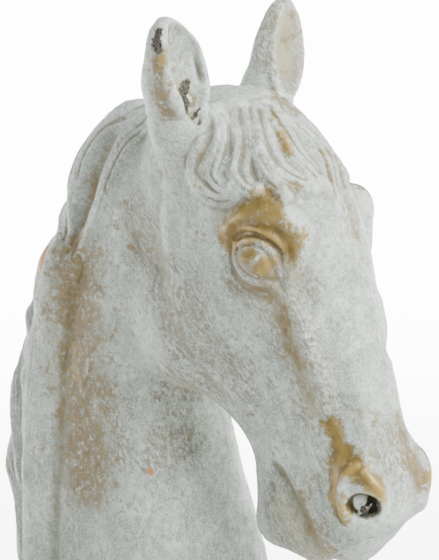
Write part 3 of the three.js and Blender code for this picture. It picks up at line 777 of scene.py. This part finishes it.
THIN = both([
    ([(-64, -52, 440), (-56, -58, 390), (-50, -62, 335), (-44, -66, 285), (-38, -70, 256)], 33, 1.0),
    ([(-72, -52, 400), (-76, -58, 350)], 12, 0.75),
    ([(182, -58, 460), (192, -54, 431), (203, -48, 396), (208, -46, 374)], 9, 0.66),
    ([(148, -67, 462), (172, -62, 464)], 8, 0.6),
    ([(206, -45, 282), (212, -42, 256), (222, -36, 232)], 9, 0.8),
    ([(56, -40, 300), (60, -30, 330)], 12, 0.66),
    ([(6, -58, 492), (20, -58, 470)], 14, 0.5),
    ([(-52, -36, 535), (-56, -42, 500), (-62, -44, 470)], 8, 0.5),
    ([(98, -60, 566), (106, -64, 546)], 9, 0.62),
    ([(172, -42, 552), (184, -32, 552)], 8, 0.62),
    ([(158, -70, 492), (182, -68, 484)], 13, 0.8),
    ([(255, -25, 372), (262, -20, 350)], 12, 0.4),
]) + [
    ([(178, 14, 566), (200, 12, 538), (215, 6, 512)], 10, 0.8),
    ([(110, 30, 612), (130, 20, 606)], 12, 0.75),
    ([(272, 12, 350), (280, 16, 322), (284, 22, 296)], 10, 0.95),
]
RUST = both([
    ([(-131, -26, 436), (-126, -32, 428)], 10, 1.0),
    ([(35, -60, 268)], 3.2, 1.0),
    ([(-84, -50, 432)], 7, 0.7),
], dx=-9.0, dz=-30.0)
# Patches that darken the paint, grime and painted shade together: on the chin and in the mouth's valley,
# under the jaw and down the cheek's crest, among others.
GRIME_AND_PAINTED_SHADE = both([
    ([(182, -58, 466), (194, -55, 434), (206, -50, 398), (214, -44, 360)], 17, 1.15),
    ([(196, -52, 490), (206, -50, 464)], 12, 1.0),
    ([(186, -40, 262), (200, -30, 236), (200, -20, 222)], 26, 1.2),
    ([(70, -50, 345), (64, -54, 300)], 28, 1.2),
    ([(60, -66, 440), (84, -68, 400)], 16, 0.9),
    ([(150, -68, 466), (170, -62, 452), (190, -58, 430)], 16, 0.8),
    ([(90, -68, 440), (110, -66, 400), (140, -58, 370)], 24, 0.7),
    ([(20, -58, 500), (40, -60, 470), (70, -64, 450)], 20, 0.9),
    ([(-30, -40, 560), (-50, -40, 520), (-60, -40, 480)], 12, 0.5),
    ([(-130, -20, 400), (-150, -20, 340), (-150, -30, 260)], 16, 0.6),
    ([(230, -40, 320), (222, -44, 300)], 14, 0.7),
    ([(270, -10, 340), (282, -6, 310)], 16, 0.8),
    ([(130, -30, 596), (160, -38, 566)], 14, 0.6),
    ([(-8, -68, 330), (10, -72, 280)], 20, 0.6),
])


def paint_wear_and_shade(mesh):
    stain(mesh, "gold", GOLD)
    stain(mesh, "thin", THIN)
    stain(mesh, "rust", RUST)
    stain(mesh, "smudge", GRIME_AND_PAINTED_SHADE)
    # Nearly black inside the nostril: painted shade.
    stain(mesh, "grit", both([([(268, -34, 281), (262, -28, 284)], 8, 0.95)], 0, 0, 1))


def paint_ear_wear_and_shade(mesh, side):
    ear = EARS[side]
    near = side < 0
    stain(mesh, "thin", [
        (ear.at([(12, 22, 57), (9, 26, 40), (9, 26, 21), (11, 24, 8)]), 8, 1.0 if near else 0.0),
        (ear.at([(2, 26, 34), (4, 26, 12)]), 6, 0.7 if near else 0.0),
        (ear.at([(14, 2, 20), (14, 0, 36), (12, 0, 58)]), 14, 0.0 if near else 0.4),
        (ear.at([(14, 0, 8)]), 8, 0.9 if near else 0.5),
    ])
    stain(mesh, "gold", [(ear.at([(12, 22, 58), (10, 26, 40), (11, 26, 20)]), 5, 0.55 if near else 0.0)])
    stain(mesh, "rust", [(ear.at([(9, 4.5, 18)]), 4.2, 1.0 if near else 0.0)])
    # A patch down the ear's hollow, grime and painted shade, much stronger on the far ear than on the near
    # one.
    stain(mesh, "smudge", [(ear.at([(14, 0, 24), (12, 0, 56)]), 18, 0.4 if near else 1.6)])
    # Nearly black marks: on the lumps in the near ear's hollow and on a chip in its rim, and painted shade at
    # the foot of the hollow.
    stain(mesh, "grit", [
        (ear.at([(12.8, -7, 18), (12.5, 2, 11), (15, 6, 2)]), 5.5, 0.95 if near else 0.0),
        (ear.at([(20, 3, -8), (24, -6, -2)]), 2.2, 0.85 if near else 0.5),
        (ear.at([(8, 14, 71), (9, 19, 61)]), 5.2, 1.0 if near else 0.0),
    ])


# ---------------------------------------------------------------- materials
class Nodes:
    """Builds one material's nodes. Lengths are in metres, in the piece's own space."""

    def __init__(self, name):
        self.material = bpy.data.materials.new(name)
        self.material.use_nodes = True
        self.tree = self.material.node_tree
        self.shader = self.tree.nodes["Principled BSDF"]
        self.place = self.tree.nodes.new("ShaderNodeTexCoord").outputs["Object"]

    def put(self, socket, value):
        """Links or sets one input."""
        if isinstance(value, bpy.types.NodeSocket):
            self.tree.links.new(value, socket)
        elif isinstance(value, tuple) and len(value) == 3 and socket.type == "RGBA":
            socket.default_value = (*value, 1)
        else:
            socket.default_value = value

    def add(self, kind, inputs, output=0, **settings):
        """Adds a node with its inputs and settings, and returns one of its outputs."""
        node = self.tree.nodes.new(kind)
        for key, value in settings.items():
            setattr(node, key, value)
        for key, value in inputs.items():
            self.put(node.inputs[key], value)
        return node.outputs[output]

    def noise(self, size, detail=3.0, rough=0.55, seed=0.0, stretch=None, turned=(0, 0, 0)):
        """Noise between about 0.2 and 0.8 whose features are about size across."""
        place = self.place
        if stretch or seed:
            scale = stretch or (1, 1, 1)
            inputs = {"Vector": place, "Location": (seed, seed, 0), "Rotation": turned, "Scale": scale}
            place = self.add("ShaderNodeMapping", inputs, vector_type="TEXTURE")
        inputs = {"Vector": place, "Scale": 1 / size, "Detail": detail, "Roughness": rough}
        return self.add("ShaderNodeTexNoise", inputs)

    def math(self, operation, a, b, c=0.0):
        return self.add("ShaderNodeMath", {0: a, 1: b, 2: c}, operation=operation)

    def times(self, a, b, plus=None):
        """a times b, plus a third value if one is given."""
        return self.math("MULTIPLY", a, b) if plus is None else self.math("MULTIPLY_ADD", a, b, plus)

    def plus(self, a, b):
        return self.math("ADD", a, b)

    def minus(self, a, b):
        return self.math("SUBTRACT", a, b)

    def larger(self, a, b):
        return self.math("MAXIMUM", a, b)

    def step(self, value, low, high, top=1.0):
        """0 below low, top above high, and smooth between."""
        return self.add(
            "ShaderNodeMapRange",
            {"Value": value, "From Min": low, "From Max": high, "To Min": 0.0, "To Max": top},
            interpolation_type="SMOOTHSTEP",
        )

    def mix(self, share, a, b):
        """Color a, changed to color b by a share of 0 to 1."""
        node = self.tree.nodes.new("ShaderNodeMix")
        node.data_type = "RGBA"
        for index, value in ((0, share), (6, a), (7, b)):
            self.put(node.inputs[index], value)
        return node.outputs[2]

    def read(self, name):
        """A number kept at every point of the mesh."""
        return self.add("ShaderNodeAttribute", {}, output="Fac", attribute_name=name)

    def patch(self, name, ragged, low, high):
        """Where a stain reaches, with a ragged edge that fades between low and high."""
        return self.step(self.plus(self.read(name), ragged), low, high)

    def finish(self, color, roughness, height=None, depth=0.0, metallic=0.0):
        """Sets the shader, with height as a bump depth metres deep, and returns the material."""
        self.put(self.shader.inputs["Base Color"], color)
        self.put(self.shader.inputs["Roughness"], roughness)
        self.put(self.shader.inputs["Metallic"], metallic)
        if height is not None:
            bump = self.add("ShaderNodeBump", {"Height": height, "Distance": depth, "Strength": 1.0})
            self.put(self.shader.inputs["Normal"], bump)
        return self.material


def worn_paint_with_painted_light():
    """A thin whitewash over gold paint on terracotta, rubbed and dirtied outdoors, with painted shade and
    painted highlights in its colour.
    """
    n = Nodes("worn_paint_with_painted_light")
    down = (0, math.radians(52), 0)  # the way brush strokes run, down the nose
    broad = n.noise(0.055, 5, 0.6)
    middle = n.noise(0.016, 5, 0.6, seed=3.0)
    fine = n.noise(0.0055, 6, 0.72, seed=7.0)
    grain = n.noise(0.0016, 2, 0.6, seed=1.0)
    strokes = n.noise(0.0028, 5, 0.72, seed=5.0, stretch=(2.2, 1, 1), turned=down)
    brush = n.noise(0.005, 3, 0.6, seed=2.0, stretch=(1, 1, 6))
    ridge, swell = n.read("ridge_fine"), n.read("ridge_broad")

    wash = n.mix(n.step(broad, 0.4, 0.6), (0.315, 0.375, 0.32), (0.475, 0.555, 0.485))
    wash = n.mix(n.step(middle, 0.44, 0.62, 0.65), wash, (0.66, 0.74, 0.665))
    wash = n.mix(n.step(brush, 0.46, 0.68, 0.45), wash, (0.66, 0.725, 0.65))
    # Dark streaks, strongest on the patches of grime and painted shade.
    smear_and_painted_shade = n.noise(0.02, 7, 0.75, seed=15.0, stretch=(2.2, 1, 1), turned=down)
    smear_and_painted_shade = n.times(n.step(smear_and_painted_shade, 0.45, 0.6), n.times(n.read("smudge"), 0.75, 0.25))
    wash = n.mix(smear_and_painted_shade, wash, (0.2, 0.185, 0.14))
    # Painted highlight: lighter on the broad rises.
    wash = n.mix(n.step(swell, 0.05, 0.45, 0.5), wash, (0.74, 0.8, 0.75))
    wash = n.mix(n.step(fine, 0.47, 0.6, 0.55), wash, (0.215, 0.25, 0.2))
    wash = n.mix(n.step(grain, 0.5, 0.6, 0.45), wash, (0.8, 0.87, 0.8))

    # Darker in the broad hollows and the fine creases, mottled by noise.
    darker_in_hollows = n.times(n.step(n.times(swell, -1.0), 0.02, 0.3, 0.75), n.step(fine, 0.25, 0.6))
    wash = n.mix(darker_in_hollows, wash, (0.3, 0.29, 0.2))
    darker_in_hollows = n.times(n.step(n.times(ridge, -1.0), 0.03, 0.22, 0.85), n.step(grain, 0.2, 0.55))
    wash = n.mix(darker_in_hollows, wash, (0.2, 0.175, 0.11))

    # Grey-brown strokes, strengthened on the patches of grime and painted shade.
    gray = n.step(strokes, 0.44, 0.58)
    gray = n.times(gray, n.step(n.plus(n.read("smudge"), middle), 0.6, 1.1, 0.85))
    wash = n.mix(gray, wash, (0.22, 0.2, 0.16))
    # Dark flecks, which those patches of grime and painted shade strengthen too.
    flecks = n.noise(0.005, 5, 0.75, seed=12.0, stretch=(2.2, 1, 1), turned=down)
    flecks = n.times(n.step(flecks, 0.52, 0.61, 0.9), n.step(middle, 0.44, 0.54))
    flecks = n.times(flecks, n.times(n.read("smudge"), 0.6, 0.45))
    wash = n.mix(flecks, wash, (0.15, 0.138, 0.1))

    # Olive over the patches of grime and painted shade: an olive stain, and painted shade.
    wash = n.mix(n.step(n.read("smudge"), 0.4, 1.5, 0.9), wash, (0.4, 0.385, 0.25))

    brown = n.mix(n.step(fine, 0.35, 0.65), (0.14, 0.096, 0.034), (0.28, 0.198, 0.075))
    soft = n.step(n.times(middle, 0.9, n.minus(n.read("thin"), 0.45)), 0.2, 0.8, 0.95)
    ragged = n.times(n.plus(fine, n.times(middle, 1.2)), 1.9, -2.13)
    thin = n.times(n.patch("thin", ragged, 0.3, 0.68), 0.9)
    specks = n.step(n.noise(0.006, 6, 0.8, seed=21.0), 0.35, 0.5, 0.95)
    thin = n.times(n.larger(thin, soft), specks)
    color = n.mix(thin, wash, brown)

    tatter = n.times(n.plus(n.times(fine, 0.6), middle), 1.3, -1.04)
    bare = n.patch("gold", tatter, 0.3, 0.6)
    chips = n.step(n.noise(0.005, 5, 0.7, seed=9.0), 0.58, 0.74, 0.8)
    bare = n.times(bare, n.minus(1.0, chips))
    bare = n.times(bare, n.larger(specks, n.step(n.read("gold"), 0.45, 0.75)))
    gilt = n.mix(n.step(middle, 0.35, 0.65), (0.14, 0.095, 0.026), (0.28, 0.19, 0.045))
    # Painted highlight on the gilt's ridges, and painted shade in its creases.
    gilt = n.mix(n.step(ridge, 0.0, 0.35, 0.75), gilt, (0.5, 0.345, 0.1))
    gilt = n.mix(n.step(n.times(ridge, -1.0), 0.05, 0.4, 0.45), gilt, (0.11, 0.075, 0.03))
    color = n.mix(bare, color, gilt)

    rust = n.patch("rust", tatter, 0.42, 0.6)
    color = n.mix(rust, color, n.mix(fine, (0.42, 0.17, 0.05), (0.6, 0.33, 0.15)))
    # Nearly black marks: muck and chips, and painted shade inside the nostril and at the foot of the ear's
    # hollow.
    grit = n.patch("grit", tatter, 0.42, 0.58)
    color = n.mix(grit, color, n.mix(n.step(grain, 0.4, 0.62), (0.014, 0.013, 0.01), (0.1, 0.085, 0.058)))

    height = n.times(fine, 0.5, n.times(grain, 0.3, n.times(brush, 0.3)))
    height = n.minus(height, n.times(bare, 0.25))
    roughness = n.times(bare, -0.3, n.times(fine, 0.2, 0.62))
    return n.finish(color, roughness, height, 0.0009, n.times(bare, 0.35))


def zinc_plate():
    n = Nodes("zinc_plate")
    cloud = n.noise(0.012, 4)
    lines = n.noise(0.002, 2, stretch=(8, 8, 1))
    color = n.mix(cloud, (0.36, 0.37, 0.38), (0.56, 0.57, 0.58))
    return n.finish(color, n.times(lines, 0.25, 0.28), lines, 0.0001, 1.0)


def turned_brass():
    n = Nodes("turned_brass")
    cloud = n.noise(0.006, 4)
    color = n.mix(cloud, (0.42, 0.27, 0.09), (0.66, 0.47, 0.18))
    return n.finish(color, n.times(cloud, 0.3, 0.22), n.noise(0.001, 2), 0.00005, 1.0)


def black_rubber():
    n = Nodes("moulded_rubber")
    dust = n.noise(0.02, 5)
    color = n.mix(n.step(dust, 0.4, 0.75), (0.018, 0.018, 0.018), (0.07, 0.068, 0.062))
    return n.finish(color, n.times(dust, 0.3, 0.6), n.noise(0.0012, 2), 0.0002)


def dry_sand():
    n = Nodes("dry_sand")
    grains = n.noise(0.0011, 2, 0.7)
    color = n.mix(n.step(grains, 0.3, 0.7), (0.38, 0.28, 0.15), (0.72, 0.6, 0.4))
    return n.finish(color, 0.92, grains, 0.0008)


SHARP = math.radians(32)  # an edge that bends more than this stays sharp


def smooth_by_angle(piece):
    """A modifier that shades a CAD node smoothly but for its sharp edges."""
    group = bpy.data.node_groups.get("smooth_by_angle")
    if group is None:
        group = bpy.data.node_groups.new("smooth_by_angle", "GeometryNodeTree")
        group.interface.new_socket("Geometry", in_out="INPUT", socket_type="NodeSocketGeometry")
        group.interface.new_socket("Geometry", in_out="OUTPUT", socket_type="NodeSocketGeometry")
        start, end = group.nodes.new("NodeGroupInput"), group.nodes.new("NodeGroupOutput")
        faces, edges = (group.nodes.new("GeometryNodeSetShadeSmooth") for _ in range(2))
        faces.domain, edges.domain = "FACE", "EDGE"
        angle = group.nodes.new("GeometryNodeInputMeshEdgeAngle")
        below = group.nodes.new("FunctionNodeCompare")
        below.operation = "LESS_THAN"
        below.inputs["B"].default_value = SHARP
        group.links.new(angle.outputs["Unsigned Angle"], below.inputs["A"])
        group.links.new(start.outputs[0], faces.inputs["Geometry"])
        group.links.new(faces.outputs[0], edges.inputs["Geometry"])
        group.links.new(below.outputs[0], edges.inputs["Shade Smooth"])
        group.links.new(edges.outputs[0], end.inputs[0])
    piece.modifiers.new("smooth_by_angle", "NODES").node_group = group


# ---------------------------------------------------------------- the pieces
PAINT = worn_paint_with_painted_light()

head = make_head()
paint_wear_and_shade(head.data)
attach(head, "statue")
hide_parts("head_casting")
head.data.materials.append(PAINT)

for side in SIDES:
    piece = make_ear(side)
    paint_ear_wear_and_shade(piece.data, side)
    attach(piece, "statue")
    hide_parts(EARS[side].name)
    piece.data.materials.append(PAINT)

# The other nodes keep their CAD shapes.
SLOTS = {
    "painted_ceramic": PAINT,
    "zinc_steel": zinc_plate(),
    "brass": turned_brass(),
    "black_rubber": black_rubber(),
    "sand": dry_sand(),
}
for part in frame["record"]["subparts"]:
    if part["node"] in ("head_casting", "right_ear", "left_ear"):
        continue
    piece = frame["nodes"][part["node"]]
    piece.data.materials.clear()
    piece.data.materials.append(SLOTS[part["material_slot"]])
    smooth_by_angle(piece)


# ---------------------------------------------------------------- stage, light and camera
AZIMUTH, ELEVATION = math.radians(42), math.radians(15)  # from where the camera looks
DISTANCE = 2.6  # from the camera to what it looks at
LOOK_AT = (0.066, 0.0, 0.442)
LENS = 185.7  # in millimetres, on a sensor of 36
LIT = (0.03, 0.0, 0.4)  # where the lights point
KEY_WATTS, FILL_WATTS, SKY_STRENGTH = 176, 4, 0.5
FLOOR_REACH = 60.0


def glowing_floor():
    """A white floor that glows, as painted light, most brightly behind the object as the camera sees it."""
    n = Nodes("glowing_floor")
    ahead = (-math.sin(AZIMUTH), math.cos(AZIMUTH), 0)
    away = n.add("ShaderNodeVectorMath", {0: n.place, 1: ahead}, output="Value", operation="DOT_PRODUCT")
    n.put(n.shader.inputs["Emission Color"], (1, 1, 1))
    glow = n.plus(n.step(away, 0.05, 0.45, 6.5), n.step(away, 0.4, 1.6, 7.0))
    n.put(n.shader.inputs["Emission Strength"], glow)
    return n.finish((0.9, 0.9, 0.9), 0.8)


def make_stage():
    mesh = bpy.data.meshes.new("floor")
    corners = [(x * FLOOR_REACH, y * FLOOR_REACH, 0) for x, y in ((-1, -1), (1, -1), (1, 1), (-1, 1))]
    mesh.from_pydata(corners, [], [(0, 1, 2, 3)])
    floor = bpy.data.objects.new("floor", mesh)
    bpy.context.scene.collection.objects.link(floor)
    floor.data.materials.append(glowing_floor())


def add_light(name, place, size, watts):
    data = bpy.data.lights.new(name, "AREA")
    data.energy, data.size = watts, size
    light = bpy.data.objects.new(name, data)
    light.location = place
    light.rotation_mode = "QUATERNION"
    light.rotation_quaternion = (Vector(place) - Vector(LIT)).to_track_quat("Z", "Y")
    bpy.context.scene.collection.objects.link(light)


def make_lights():
    add_light("key", (2.2, 0.0, 2.3), 1.5, KEY_WATTS)
    add_light("fill", (-1.4, -2.4, 1.8), 2.4, FILL_WATTS)
    world = bpy.data.worlds.new("studio")
    world.use_nodes = True
    sky = world.node_tree.nodes["Background"]
    sky.inputs["Color"].default_value = (1, 1, 1, 1)
    sky.inputs["Strength"].default_value = SKY_STRENGTH
    bpy.context.scene.world = world


def make_camera():
    """Looks at the horse's right side from ahead and a little above."""
    level = math.cos(ELEVATION)
    back = Vector((math.sin(AZIMUTH) * level, -math.cos(AZIMUTH) * level, math.sin(ELEVATION)))
    data = bpy.data.cameras.new("camera")
    data.sensor_width = 36.0
    data.lens = LENS
    data.clip_start, data.clip_end = 0.05, 200
    camera = bpy.data.objects.new("camera", data)
    camera.location = Vector(LOOK_AT) + back * DISTANCE
    camera.rotation_mode = "QUATERNION"
    camera.rotation_quaternion = (-back).to_track_quat("-Z", "Y")
    bpy.context.scene.collection.objects.link(camera)
    bpy.context.scene.camera = camera


make_stage()
make_lights()
make_camera()
